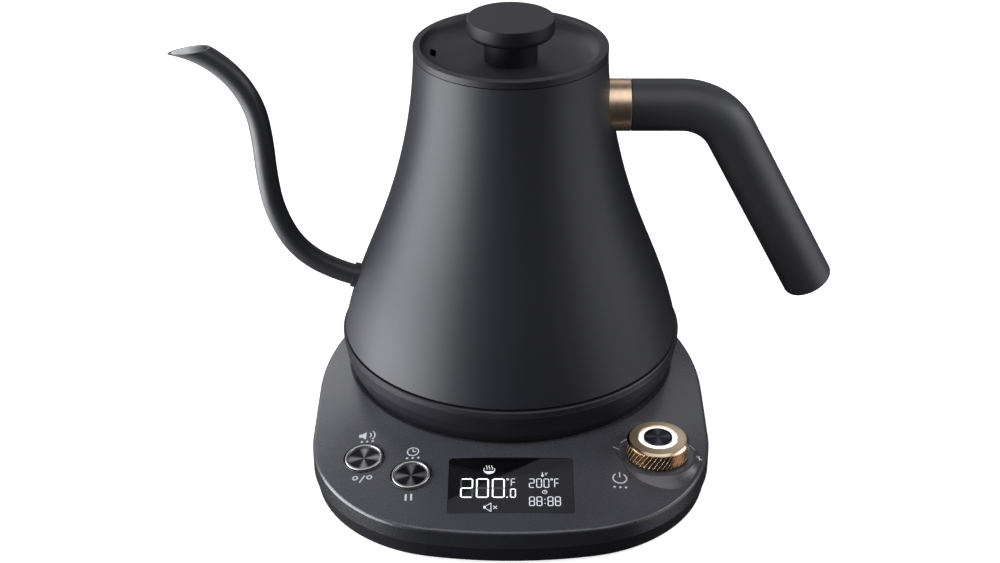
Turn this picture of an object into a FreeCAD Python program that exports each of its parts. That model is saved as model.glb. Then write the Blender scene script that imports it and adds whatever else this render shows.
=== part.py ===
"""Electric gooseneck kettle on its control base, in millimetres.

+Z is up and z = 0 is the table. The kettle's axis is the Z axis, its spout points
along -X, its handle along +X, and the base's control panel faces -Y.
"""

import FreeCAD, Part
import math
import os
import Sketcher

V = FreeCAD.Vector
UP = V(0, 0, 1)
doc = FreeCAD.newDocument("GooseneckKettle")
sheet = doc.addObject("Spreadsheet::Sheet", "Dim")
kept = []


class Size:
    """A length and the spreadsheet expression that it comes from."""

    def __init__(self, value, text):
        self.value = float(value)
        self.text = text

    def __add__(self, other):
        return Size(self.value + num(other), f"({self.text} + {txt(other)})")

    def __sub__(self, other):
        return Size(self.value - num(other), f"({self.text} - {txt(other)})")

    def __mul__(self, other):
        return Size(self.value * num(other), f"({self.text} * {txt(other)})")

    def __neg__(self):
        return Size(-self.value, f"(0 - {self.text})")


def num(size):
    return size.value if isinstance(size, Size) else float(size)


def txt(size):
    return size.text if isinstance(size, Size) else repr(float(size))


rows = [0]


def cell(alias, value):
    """Adds a named driving dimension to the spreadsheet."""
    rows[0] += 1
    sheet.set(f"A{rows[0]}", alias)
    sheet.set(f"B{rows[0]}", str(value))
    sheet.setAlias(f"B{rows[0]}", alias)
    return Size(value, f"Dim.{alias}")


# ---------------------------------------------------------------- driving dimensions
# base
base_half_width = cell("base_half_width", 85.6)
base_front = cell("base_front", 124.4)
front_arc = cell("front_arc", 186.0)
corner_arc = cell("corner_arc", 63.0)
blend_arc = cell("blend_arc", 120.0)
back_arc = cell("back_arc", 78.0)
deck_top = cell("deck_top", 25.2)
deck_thick = cell("deck_thick", 2.4)
deck_edge = cell("deck_edge", 74.0)
panel_slope = cell("panel_slope", 9.0)
parting = cell("parting", 9.5)
cover_bottom = cell("cover_bottom", 1.6)
cover_taper = cell("cover_taper", 12.0)
shell_wall = cell("shell_wall", 2.4)
foot_radius = cell("foot_radius", 6.0)

# kettle
seat_radius = cell("seat_radius", 73.4)
seat_depth = cell("seat_depth", 1.0)
skirt_foot = cell("skirt_foot", 71.2)
skirt_radius = cell("skirt_radius", 75.9)
lip_radius = cell("lip_radius", 76.1)
lip_bottom = cell("lip_bottom", 40.3)
lip_top = cell("lip_top", 43.1)
body_radius = cell("body_radius", 75.0)
body_bottom = cell("body_bottom", 44.0)
neck_radius = cell("neck_radius", 41.1)
neck_top = cell("neck_top", 174.2)
steel = cell("steel", 0.8)
floor_height = cell("floor_height", 46.5)

# lid
lid_rim = cell("lid_rim", 177.7)
lid_radius = cell("lid_radius", 41.2)
dish_radius = cell("dish_radius", 38.2)
dish_floor = cell("dish_floor", 170.8)
cup_radius = cell("cup_radius", 36.6)
cup_bottom = cell("cup_bottom", 158.0)
grip_radius = cell("grip_radius", 18.4)
grip_top = cell("grip_top", 189.45)
grip_thick = cell("grip_thick", 7.7)
stem_radius = cell("stem_radius", 11.3)

# handle and spout
handle_height = cell("handle_height", 149.9)
handle_radius = cell("handle_radius", 11.2)
handle_corner = cell("handle_corner", 87.7)
handle_bend = cell("handle_bend", 25.0)
handle_turn = cell("handle_turn", 61.7)
leg_length = cell("leg_length", 99.0)
collar_end = cell("collar_end", 51.2)
spout_radius = cell("spout_radius", 4.7)
spout_bore = cell("spout_bore", 4.0)
spout_height = cell("spout_height", 66.8)

# controls
glass_width = cell("glass_width", 51.8)
glass_depth = cell("glass_depth", 32.0)
glass_thick = cell("glass_thick", 1.2)
glass_sunk = cell("glass_sunk", 0.6)
button_radius = cell("button_radius", 7.4)
bezel_radius = cell("bezel_radius", 8.5)
knob_x = cell("knob_x", 62.2)
knob_y = cell("knob_y", -75.6)
knob_radius = cell("knob_radius", 13.2)
knob_bottom = cell("knob_bottom", 22.3)
knob_top = cell("knob_top", 30.6)
knob_seat = cell("knob_seat", 21.9)
ring_radius = cell("ring_radius", 8.1)
start_radius = cell("start_radius", 6.1)

# tower of the cordless connector
tower_radius = cell("tower_radius", 15.0)
tower_top = cell("tower_top", 34.5)
socket_radius = cell("socket_radius", 22.0)
doc.recompute()


# ---------------------------------------------------------------- building helpers
def bind(thing, prop, size):
    if isinstance(size, Size):
        thing.setExpression(prop, size.text)


def keep(thing, label):
    thing.Label = label
    kept.append(thing)
    return thing


def place(thing, at, rotation=None):
    thing.Placement = FreeCAD.Placement(V(*[num(c) for c in at]), rotation or FreeCAD.Rotation())
    for axis, size in zip("xyz", at):
        bind(thing, f"Placement.Base.{axis}", size)
    return thing


def turn_to(direction):
    return FreeCAD.Rotation(UP, V(*direction))


def rod(radius, length, at=(0, 0, 0), direction=(0, 0, 1)):
    thing = doc.addObject("Part::Cylinder", "Rod")
    thing.Radius = num(radius)
    thing.Height = num(length)
    bind(thing, "Radius", radius)
    bind(thing, "Height", length)
    return place(thing, at, turn_to(direction))


def block(sizes, at=(0, 0, 0)):
    """A box with its middle over at and its underside at the height of at."""
    thing = doc.addObject("Part::Box", "Block")
    for prop, size in zip(("Length", "Width", "Height"), sizes):
        setattr(thing, prop, num(size))
        bind(thing, prop, size)
    x, y, z = at
    corner = (num(x) - num(sizes[0]) / 2, num(y) - num(sizes[1]) / 2, z)
    return place(thing, corner)


def cut(base, *tools):
    for tool in tools:
        result = doc.addObject("Part::Cut", "Cut")
        result.Base = base
        result.Tool = tool
        base = result
    return base


def fuse(*pieces):
    result = doc.addObject("Part::MultiFuse", "Fuse")
    result.Shapes = list(pieces)
    return result


def group(*pieces):
    result = doc.addObject("Part::Compound", "Group")
    result.Links = list(pieces)
    return result


def tube(outer, inner, length, at=(0, 0, 0), direction=(0, 0, 1)):
    return cut(rod(outer, length, at, direction), rod(inner, length, at, direction))


def body_plane(body, role):
    return next(f for f in body.Origin.OriginFeatures if f.Role == role)


def new_sketch(body, role, lift=0):
    sketch = body.newObject("Sketcher::SketchObject", "Sketch")
    sketch.AttachmentSupport = (body_plane(body, role), [""])
    sketch.MapMode = "FlatFace"
    sketch.AttachmentOffset = FreeCAD.Placement(V(0, 0, num(lift)), FreeCAD.Rotation())
    bind(sketch, "AttachmentOffset.Base.z", lift)
    return sketch


def pin_point(sketch, geometry, end, x, y):
    """Holds one end of a sketch line or curve at (x, y)."""
    for kind, size in (("DistanceX", x), ("DistanceY", y)):
        index = sketch.addConstraint(Sketcher.Constraint(kind, -1, 1, geometry, end, num(size)))
        bind(sketch, f"Constraints[{index}]", size)


def outline(sketch, corners):
    """A closed outline of straight lines, with every corner held by its two sizes."""
    points = [V(num(x), num(y), 0) for x, y in corners]
    lines = []
    for start, end in zip(points, points[1:] + points[:1]):
        lines.append(sketch.addGeometry(Part.LineSegment(start, end), False))
    for line, after in zip(lines, lines[1:] + lines[:1]):
        sketch.addConstraint(Sketcher.Constraint("Coincident", line, 2, after, 1))
    for line, (x, y) in zip(lines, corners):
        pin_point(sketch, line, 1, x, y)


def revolve(body, sketch, kind="PartDesign::Revolution"):
    feature = body.newObject(kind, "Turn")
    feature.Profile = sketch
    feature.ReferenceAxis = (sketch, ["V_Axis"])
    feature.Angle = 360
    return feature


def round_edges(body, wanted, radius):
    """Rounds the edges of the body's last feature that wanted() picks."""
    doc.recompute()
    base = body.Tip
    names = [f"Edge{i + 1}" for i, edge in enumerate(base.Shape.Edges) if wanted(edge)]
    fillet = body.newObject("PartDesign::Fillet", "Fillet")
    fillet.Base = (base, names)
    fillet.Radius = num(radius)
    bind(fillet, "Radius", radius)


def turned(corners, rounds=()):
    """A body turned about Z from (radius, height) corners, with some corners rounded."""
    body = doc.addObject("PartDesign::Body", "Turned")
    sketch = new_sketch(body, "XZ_Plane")
    outline(sketch, corners)
    revolve(body, sketch)
    for r, z, radius in rounds:
        round_edges(body, circle_at(num(r), num(z)), radius)
    return body


def circle_at(radius, height):
    def wanted(edge):
        curve = edge.Curve
        if not isinstance(curve, Part.Circle):
            return False
        return abs(curve.Radius - radius) < 0.01 and abs(curve.Center.z - height) < 0.01

    return wanted


# ---------------------------------------------------------------- base
def base_outline(sketch, inset):
    """The base's plan: a bowed front, round corners, straight sides that blend into a
    round back about the kettle's axis. Each stretch is inset by the same amount."""
    front_r = front_arc - inset
    corner_r = corner_arc - inset
    blend_r = blend_arc - inset
    back_r = back_arc - inset
    side = base_half_width - inset
    front_y = front_arc.value - base_front.value
    corner_x = num(side) - num(corner_r)
    reach = front_arc.value - corner_arc.value
    corner_y = front_y - math.sqrt(reach**2 - corner_x**2)
    blend_x = base_half_width.value - blend_arc.value
    blend_y = -math.sqrt((blend_arc.value - back_arc.value) ** 2 - blend_x**2)

    def arc(cx, cy, radius, start, end):
        circle = Part.Circle(V(cx, cy, 0), UP, num(radius))
        return sketch.addGeometry(Part.ArcOfCircle(circle, start, end), False)

    lean = math.atan2(corner_y - front_y, corner_x)
    blend_lean = math.atan2(-blend_y, -blend_x)
    front = arc(0, front_y, front_r, -math.pi - lean, lean)
    right_corner = arc(corner_x, corner_y, corner_r, lean, 0)
    low = V(num(side), corner_y, 0)
    high = V(num(side), blend_y, 0)
    right_side = sketch.addGeometry(Part.LineSegment(low, high), False)
    right_blend = arc(blend_x, blend_y, blend_r, 0, blend_lean)
    back = arc(0, 0, back_r, blend_lean, math.pi - blend_lean)
    left_blend = arc(-blend_x, blend_y, blend_r, math.pi - blend_lean, math.pi)
    left_side = sketch.addGeometry(Part.LineSegment(V(-high.x, high.y, 0), V(-low.x, low.y, 0)), False)
    left_corner = arc(-corner_x, corner_y, corner_r, math.pi, math.pi - lean)
    chain = [front, right_corner, right_side, right_blend, back, left_blend, left_side, left_corner]
    for here, after in zip(chain, chain[1:] + chain[:1]):
        sketch.addConstraint(Sketcher.Constraint("Tangent", here, 2, after, 1))
    radii = ((front, front_r), (right_corner, corner_r), (right_blend, blend_r), (back, back_r))
    for curve, radius in radii:
        index = sketch.addConstraint(Sketcher.Constraint("Radius", curve, num(radius)))
        bind(sketch, f"Constraints[{index}]", radius)
    sketch.addConstraint(Sketcher.Constraint("Equal", right_corner, left_corner))
    sketch.addConstraint(Sketcher.Constraint("Equal", right_blend, left_blend))
    sketch.addConstraint(Sketcher.Constraint("Coincident", back, 3, -1, 1))
    pin_point(sketch, front, 3, 0, front_arc - base_front)
    for line, x in ((right_side, side), (left_side, -side)):
        for end in (1, 2):
            index = sketch.addConstraint(Sketcher.Constraint("DistanceX", -1, 1, line, end, num(x)))
            bind(sketch, f"Constraints[{index}]", x)


slope = math.tan(math.radians(panel_slope.value))
FAR = 160


def pad(body, sketch, length, taper=0):
    feature = body.newObject("PartDesign::Pad", "Pad")
    feature.Profile = sketch
    feature.Length = num(length)
    bind(feature, "Length", length)
    feature.TaperAngle = num(taper)
    bind(feature, "TaperAngle", taper)
    return feature


def deck_block(inset, lowered, bottom):
    """A slab with the base's plan, whose top is flat under the kettle and slopes away
    all round it."""
    body = doc.addObject("PartDesign::Body", "Deck")
    plan = new_sketch(body, "XY_Plane", bottom)
    base_outline(plan, inset)
    pad(body, plan, deck_top + 2 - bottom)
    top = deck_top - lowered
    profile = new_sketch(body, "XZ_Plane")
    low = top - (FAR - deck_edge.value) * slope
    outline(profile, [(0, top), (deck_edge, top), (FAR, low), (FAR, 60), (0, 60)])
    groove = revolve(body, profile, "PartDesign::Groove")
    doc.recompute()
    if groove.Shape.Volume > body.Group[1].Shape.Volume:
        raise RuntimeError("the panel slope cut nothing")
    return body


def deck_height(x, y):
    return deck_top.value - max(0, math.hypot(x, y) - deck_edge.value) * slope


def panel_frame(x, y, lift=0):
    """A frame on the sloping panel at (x, y), its Z along the panel's outward normal."""
    reach = math.hypot(x, y)
    angle = math.radians(panel_slope.value)
    normal = V(x / reach * math.sin(angle), y / reach * math.sin(angle), math.cos(angle))
    return FreeCAD.Placement(V(x, y, deck_height(x, y)) + normal * lift, FreeCAD.Rotation(UP, normal))


def on_panel(thing, x, y, lift=0):
    thing.Placement = panel_frame(x, y, lift)
    return thing


def rounded_slab(width, depth, height, corner, drop=0):
    """A slab with round corners, centred on its own frame."""
    body = doc.addObject("PartDesign::Body", "Slab")
    sketch = new_sketch(body, "XY_Plane", drop)
    half_w = width * 0.5
    half_d = depth * 0.5
    outline(sketch, [(-half_w, -half_d), (half_w, -half_d), (half_w, half_d), (-half_w, half_d)])
    pad(body, sketch, height)
    round_edges(body, lambda e: abs(e.tangentAt(e.FirstParameter).z) > 0.99, corner)
    return body


glass_reach = 23.4
glass_y = -(deck_edge.value + glass_reach * math.cos(math.radians(panel_slope.value)))
unit_button = (-62.25, -77.6)
timer_button = (-41.7, -89.9)
buttons = {"unit": unit_button, "timer": timer_button}
posts = [(70, -45), (-70, -45), (58, 28), (-58, 28)]
foot_places = [(0, 0), (58, -84), (-58, -84), (46, 44), (-46, 44)]
gland_z = 15.5
gland_radius = 4.8
gland_bore = 3.3
post_radius = 4.0
screw_radius = 1.5
board_z = 8.0
board_thick = 1.6


def make_base_shell():
    outer = deck_block(0, 0, parting)
    rim = parting.value + 1

    def top_edge(edge):
        centre = edge.CenterOfMass
        curve = edge.Curve
        flat_ring = isinstance(curve, Part.Circle) and abs(curve.Radius - deck_edge.value) < 0.01
        level = abs(edge.tangentAt(edge.FirstParameter).z) < 0.5
        return centre.z > rim and level and not flat_ring

    round_edges(outer, top_edge, 1.6)
    hollow = deck_block(shell_wall, deck_thick, parting - 1)
    shell = cut(outer, hollow)
    pillars = [rod(post_radius, deck_height(x, y) - 1.4 - 8.2, (x, y, 8.2)) for x, y in posts]
    # The dial's seat is level, so it stands out of the panel at the front and is sunk into
    # it at the back, with a soft flare either way.
    brim, flare = 25, 15.8
    skirt = turned(
        [
            (0, knob_seat - 5.2), (brim, knob_seat - 5.2), (19.5, knob_seat - 2.9),
            (flare, knob_seat), (0, knob_seat),
        ],
        [(19.5, knob_seat - 2.9, 12), (flare, knob_seat, 2)],
    )
    knob_boss = doc.addObject("Part::Common", "KnobBoss")
    knob_boss.Base = place(skirt, (knob_x, knob_y, 0))
    knob_boss.Tool = deck_block(1.7, -6, parting)
    shell = fuse(shell, knob_boss, *pillars)
    dish = turned(
        [(0, knob_seat), (flare, knob_seat), (brim, knob_seat + 4.4), (brim, 30), (0, 30)],
        [(flare, knob_seat, 6)],
    )
    tools = [place(dish, (knob_x, knob_y, 0)), rod(10.6, 30, (knob_x, knob_y, 5))]
    tools.append(rod(seat_radius, 10, (0, 0, deck_top - seat_depth)))
    tools.append(rod(tower_radius + 1.2, 40, (0, 0, 10)))
    tools += [rod(screw_radius + 0.05, 14, (x, y, 5)) for x, y in posts]
    pocket = rounded_slab(glass_width + 0.3, glass_depth + 0.3, 6, 1.6)
    tools.append(on_panel(pocket, 0, glass_y, -(glass_sunk + glass_thick).value))
    window = rounded_slab(glass_width - 4, glass_depth - 4, 12, 1.0)
    tools.append(on_panel(window, 0, glass_y, -8))
    for x, y in buttons.values():
        hole = rod(bezel_radius, 20)
        tools.append(on_panel(hole, x, y, -10))
    tools.append(rod(gland_radius + 0.1, 8, (0, back_arc - 6, gland_z), (0, 1, 0)))
    keep(cut(shell, *tools), "base_top_shell")


def make_bottom_cover():
    """A shallow tray, drawn in towards the table, with standoffs for the four screws."""
    body = doc.addObject("PartDesign::Body", "Tray")
    plan = new_sketch(body, "XY_Plane", parting - 0.1)
    base_outline(plan, 0.15)
    tray = pad(body, plan, parting - 0.1 - cover_bottom, -cover_taper)
    tray.Reversed = True
    hollow = new_sketch(body, "XY_Plane", parting - 0.1)
    base_outline(hollow, 4.2)
    pocket = body.newObject("PartDesign::Pocket", "Pocket")
    pocket.Profile = hollow
    pocket.Length = parting.value - 0.1 - cover_bottom.value - 2
    doc.recompute()
    if pocket.Shape.Volume > tray.Shape.Volume * 0.8:
        raise RuntimeError("the tray was not hollowed")
    round_edges(body, lambda e: abs(e.BoundBox.ZMax - cover_bottom.value) < 0.01, 1.0)
    standoffs = [rod(post_radius, 4.7, (x, y, 3.4)) for x, y in posts]
    tray = fuse(body, *standoffs)
    tools = []
    for x, y in posts:
        tools.append(rod(screw_radius + 0.3, 20, (x, y, 0)))
        tools.append(rod(3.3, 5, (x, y, 0)))
    for x, y in foot_places:
        tools.append(rod(foot_radius + 0.1, 0.6, (x, y, cover_bottom - 0.1)))
    for column in range(-4, 5):
        tools.append(block((2.4, 26, 6), (column * 6.0, -36, 0)))
    keep(cut(tray, *tools), "base_bottom_cover")


def make_base_fittings():
    feet = []
    for x, y in foot_places:
        foot = turned([(0, 0), (foot_radius, 0), (foot_radius, 2.05), (0, 2.05)], [(foot_radius, 0, 0.5)])
        feet.append(place(foot, (x, y, 0)))
    keep(group(*feet), "rubber_feet")
    screws = []
    for x, y in posts:
        head = rod(3.0, 1.9, (x, y, 3.1))
        for cross in ((0.8, 4, 0.8), (4, 0.8, 0.8)):
            head = cut(head, block(cross, (x, y, 3.0)))
        screws.append(fuse(head, rod(screw_radius, 12, (x, y, 5))))
    keep(group(*screws), "base_screws")
    inner = back_arc - 5.2
    gland = fuse(
        rod(gland_radius + 1, 1.5, (0, back_arc, gland_z), (0, 1, 0)),
        rod(gland_radius, 6.0, (0, inner, gland_z), (0, 1, 0)),
        rod(gland_radius + 1, 2.2, (0, inner, gland_z), (0, 1, 0)),
    )
    bore = rod(gland_bore, 20, (0, inner - 2, gland_z), (0, 1, 0))
    keep(cut(gland, bore), "cord_gland")


def make_connector():
    """The cordless connector's base half: a tower that the kettle turns on, with a ring
    slot and a middle hole for the two live contacts, and an earth band round it."""
    flange = tower_radius + 5
    deck_under = deck_top - deck_thick
    slot_floor = 20
    keep(
        turned(
            [
                (4.2, 12), (tower_radius, 12), (tower_radius, deck_under - 2.6),
                (flange, deck_under - 2.6), (flange, deck_under - 0.1),
                (tower_radius + 1.0, deck_under - 0.1), (tower_radius + 1.0, deck_under + 1.6),
                (tower_radius, deck_under + 1.6), (tower_radius, tower_top), (13.2, tower_top),
                (13.2, slot_floor), (10.0, slot_floor), (10.0, tower_top), (4.2, tower_top),
            ],
            [(tower_radius, tower_top, 0.8), (10.0, tower_top, 0.5), (4.2, tower_top, 0.8)],
        ),
        "connector_tower",
    )
    outer_ring = tube(13.1, 12.7, 10, (0, 0, 20.1))
    middle = tube(4.1, 3.6, 14, (0, 0, 13))
    earth = tube(16.0, 15.05, 2.4, (0, 0, 24.6))
    keep(group(outer_ring, middle, earth), "tower_contacts")


def make_electronics():
    board = block((106, 27, board_thick), (-13, -83.5, board_z))
    keep(cut(board, rod(2, 5, (35, -92, board_z - 1))), "control_board")
    mains = block((104, 32, board_thick), (0, -43, 5.4))
    keep(cut(mains, rod(2, 5, (-47, -43, 4)), rod(2, 5, (47, -43, 4))), "power_board")
    over_mains = 5.4 + board_thick
    keep(block((20, 15, 13), (-34, -43, over_mains)), "heater_relay")
    core = block((24, 18, 12), (2, -43, over_mains))
    keep(core, "supply_transformer")
    capacitors = [rod(5, 11.5, (x, -41, over_mains)) for x in (23, 35)]
    keep(group(*capacitors), "filter_capacitors")
    terminals = block((14, 12, 9), (0, 52, 3.7))
    screws = [rod(1.8, 3, (x, 52, 10.5)) for x in (-3.5, 3.5)]
    keep(cut(terminals, *screws), "cord_terminal")
    top = board_z + board_thick
    keep(tube(6, 1.2, 5.5, (22, -78, top)), "buzzer")
    switches = []
    for x, y in buttons.values():
        switches.append(fuse(block((6, 6, 3.4), (x, y, top)), rod(1.7, 0.6, (x, y, top + 3.4))))
    x, y = knob_x.value, knob_y.value
    switches.append(fuse(block((6, 6, 3.4), (x, y, top)), rod(1.7, 0.6, (x, y, top + 3.4))))
    keep(group(*switches), "tact_switches")
    keep(rod(14.5, board_thick, (knob_x, knob_y, board_z)), "knob_board")
    stator = tube(14, 10.7, 4.5, (knob_x, knob_y, top + 0.1))
    lugs = []
    for k in range(3):
        angle = math.radians(90 + 120 * k)
        lug_x = x + 13 * math.cos(angle)
        lug_y = y + 13 * math.sin(angle)
        lugs.append(rod(1.5, 4.5, (lug_x, lug_y, top + 0.1)))
    keep(fuse(stator, *lugs), "encoder_ring")


def make_display():
    sunk = glass_sunk + glass_thick
    glass = rounded_slab(glass_width, glass_depth, glass_thick, 1.5)
    keep(on_panel(glass, 0, glass_y, -sunk.value), "display_window")
    cell_thick = 2.2
    module = rounded_slab(glass_width - 5, glass_depth - 5, cell_thick, 0.6)
    keep(on_panel(module, 0, glass_y, -sunk.value - cell_thick - 0.05), "display_module")
    guide = rounded_slab(glass_width - 6, glass_depth - 6, 2.0, 0.6)
    keep(on_panel(guide, 0, glass_y, -sunk.value - cell_thick - 2.1), "backlight_guide")


def make_buttons():
    bezels = []
    for name, (x, y) in buttons.items():
        ring = turned(
            [
                (button_radius + 0.3, -3), (bezel_radius - 0.05, -3), (bezel_radius - 0.05, 0.15),
                (bezel_radius - 0.45, 0.15), (button_radius + 0.3, -0.35),
            ]
        )
        bezels.append(on_panel(ring, x, y))
        cap = turned(
            [
                (0, -6.0), (2.0, -6.0), (2.0, -2.4), (button_radius, -2.4), (button_radius, 0.0),
                (button_radius - 0.7, 0.5), (button_radius - 1.0, 0.25), (0, 0.0),
            ]
        )
        keep(on_panel(cap, x, y), name + "_button")
    keep(group(*bezels), "button_bezels")


def make_dial():
    """The knurled dial turns about a fixed light ring, and the start button sits inside
    that ring."""
    axis = (knob_x, knob_y, 0)
    lip = ring_radius + 0.3
    shoulder = knob_top - 1.7
    dial = turned(
        [
            (10.25, knob_bottom), (knob_radius, knob_bottom), (knob_radius, knob_top - 1.3),
            (knob_radius - 1.1, knob_top), (lip, knob_top), (lip, shoulder), (10.25, shoulder),
        ]
    )
    keep(place(dial, axis), "dial_ring")
    carrier = turned([(8.8, 11.2), (10.2, 11.2), (10.2, shoulder - 0.05), (8.8, shoulder - 0.05)])
    keep(place(carrier, axis), "dial_carrier")
    guide = turned(
        [
            (start_radius + 0.3, 10.2), (ring_radius, 10.2), (ring_radius, knob_top - 0.2),
            (start_radius + 0.3, knob_top - 0.2),
        ],
        [(ring_radius, knob_top - 0.2, 0.3)],
    )
    keep(place(guide, axis), "light_ring")
    start = turned(
        [
            (0, 15.4), (1.8, 15.4), (1.8, knob_top - 4.2), (start_radius, knob_top - 4.2),
            (start_radius, knob_top + 0.1), (start_radius - 0.5, knob_top + 0.6),
            (start_radius - 0.9, knob_top + 0.6), (0, knob_top + 0.4),
        ]
    )
    keep(place(start, axis), "start_button")


# ---------------------------------------------------------------- kettle body
def wall_points(inward):
    """The kettle's side in section: it leans in fastest about a third of the way up and
    comes to the neck nearly upright."""
    bottom = body_bottom.value
    top = neck_top.value
    rise = top - bottom
    fall = body_radius.value - neck_radius.value
    lower = [(0.0, 0.0), (0.10, 0.094), (0.22, 0.25), (0.37, 0.48)]
    upper = [(0.53, 0.694), (0.70, 0.86), (0.86, 0.96), (1.0, 1.0)]
    return [V(body_radius.value - fall * f - inward, bottom + rise * h, 0) for h, f in lower + upper]


def wall_curve(sketch, inward):
    curve = Part.BSplineCurve()
    curve.interpolate(wall_points(inward))
    return sketch.addGeometry(curve, False)


def side_radius(height, inward=0):
    """The radius of the kettle's side at a height."""
    curve = Part.BSplineCurve()
    curve.interpolate(wall_points(inward))
    line = Part.Line(V(0, height, 0), V(1, height, 0))
    return curve.intersect(line)[0].X


def wall_section(inner):
    """A turned body between the kettle's outer side and its inner side or its axis."""
    body = doc.addObject("PartDesign::Body", "Wall")
    sketch = new_sketch(body, "XZ_Plane")
    outer = wall_curve(sketch, 0)
    first, last = wall_points(0)[0], wall_points(0)[-1]
    if inner:
        inside = wall_curve(sketch, steel.value)
        start, end = wall_points(steel.value)[0], wall_points(steel.value)[-1]
        sketch.addGeometry(Part.LineSegment(first, start), False)
        sketch.addGeometry(Part.LineSegment(last, end), False)
        pin_point(sketch, inside, 1, body_radius - steel, body_bottom)
        pin_point(sketch, inside, 2, neck_radius - steel, neck_top)
    else:
        foot, head = V(0, first.y, 0), V(0, last.y, 0)
        sketch.addGeometry(Part.LineSegment(first, foot), False)
        sketch.addGeometry(Part.LineSegment(foot, head), False)
        sketch.addGeometry(Part.LineSegment(head, last), False)
    pin_point(sketch, outer, 1, body_radius, body_bottom)
    pin_point(sketch, outer, 2, neck_radius, neck_top)
    revolve(body, sketch)
    return body


def spout_path(lead):
    """The spout's centre line in the XZ plane: a straight lead out of the kettle, then
    tangent arcs, each a radius and a turn upwards or back."""
    heading = 17.0
    arcs = [(70, 13.0), (37, 33.0), (62, 19.5), (170, 5.5), (166, -5.5), (44, -23.5), (43, -44.0)]
    x, z = -70.0, spout_height.value
    angle = math.radians(heading)
    start = V(x + lead * math.cos(angle), 0, z - lead * math.sin(angle))
    edges = [Part.LineSegment(start, V(x, 0, z)).toShape()]
    for radius, turn in arcs:
        turn = math.radians(turn)
        side = math.copysign(radius, turn)
        centre = V(x + side * math.sin(angle), 0, z + side * math.cos(angle))

        def on_arc(share):
            a = angle + turn * share
            return V(centre.x - side * math.sin(a), 0, centre.z - side * math.cos(a))

        edges.append(Part.Arc(on_arc(0), on_arc(0.5), on_arc(1)).toShape())
        x, z = on_arc(1).x, on_arc(1).z
        angle += turn
    end = V(x - 12 * math.cos(angle), 0, z + 12 * math.sin(angle))
    edges.append(Part.LineSegment(V(x, 0, z), end).toShape())
    return Part.Wire(edges), start, V(-math.cos(math.radians(heading)), 0, math.sin(math.radians(heading)))


def swept(wire, start, direction, radius):
    section = Part.Wire(Part.Circle(start, direction, radius).toShape())
    feature = doc.addObject("Part::Feature", "Sweep")
    feature.Shape = wire.makePipeShell([section], True, False)
    return feature


def make_spout(envelope):
    wire, start, direction = spout_path(8)
    outer = swept(wire, start, direction, spout_radius.value)
    inner = swept(wire, start, direction, spout_bore.value)
    tip_x, tip_z, mouth_slope = -144.3, 173.25, 9.0
    knife = block((60, 40, 30))
    rotation = FreeCAD.Rotation(V(0, 1, 0), -mouth_slope)
    corner = rotation.multVec(V(-10, -20, 0))
    place(knife, (tip_x + corner.x, corner.y, tip_z + corner.z), rotation)
    keep(cut(cut(outer, inner), knife, envelope), "spout_tube")
    collar = tube(spout_radius + 0.95, spout_radius + 0.02, 6, start, direction)
    back = start + direction * 2.9
    collar.Base.Placement.Base = back
    collar.Tool.Placement.Base = back
    keep(cut(collar, envelope), "spout_collar")
    return start, direction


def make_kettle_body():
    envelope = wall_section(inner=False)
    shell = wall_section(inner=True)
    start, direction = make_spout(envelope)
    spout_hole = rod(spout_bore, 20, start - direction * 8, direction)
    bolt_hole = rod(2.7, 20, (30, 0, handle_height), (1, 0, 0))
    keep(cut(shell, spout_hole, bolt_hole), "kettle_shell")
    inner_floor = side_radius(floor_height.value + steel.value, steel.value) + 0.05
    floor_top = floor_height + steel
    flange = side_radius(floor_height.value - 2, steel.value) - 0.6
    keep(
        turned(
            [
                (0, floor_height), (flange - 1.4, floor_height), (flange - 1.4, floor_height - 1.6),
                (flange - 0.6, floor_height - 1.6), (inner_floor - 0.1, floor_top), (0, floor_top),
            ]
        ),
        "kettle_floor",
    )
    neck = side_radius(166.0, steel.value) - 0.05
    inner = cup_radius + 1.4
    keep(
        turned(
            [
                (inner, 166), (neck, 166), (neck_radius - steel - 0.05, neck_top), (inner, neck_top),
            ],
            [(inner, neck_top, 0.5)],
        ),
        "neck_ring",
    )
    return envelope


def make_heater():
    under = floor_height
    keep(turned([(0, under - 3.6), (60, under - 3.6), (62, under - 0.1), (0, under - 0.1)]), "heat_spreader")
    element = doc.addObject("Part::Torus", "Element")
    element.Radius1 = 45
    element.Radius2 = 3.4
    element.Angle3 = 320
    place(element, (0, 0, under - 7.05), FreeCAD.Rotation(UP, 20))
    keep(element, "heating_element")
    pins = []
    for angle in (math.radians(14), math.radians(-14)):
        pins.append(rod(1.6, 9, (45 * math.cos(angle), 45 * math.sin(angle), 28.5)))
    keep(group(*pins), "element_pins")
    probe = rod(3.2, 8, (20, 20, under - 11.7))
    flange = rod(5.5, 2, (20, 20, under - 5.7))
    keep(fuse(probe, flange), "temperature_sensor")
    cutout = block((12, 15, 7), (-31, 0, under - 10.8))
    keep(cut(cutout, rod(1, 10, (-31, 0, 30))), "dry_boil_cutout")


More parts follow.
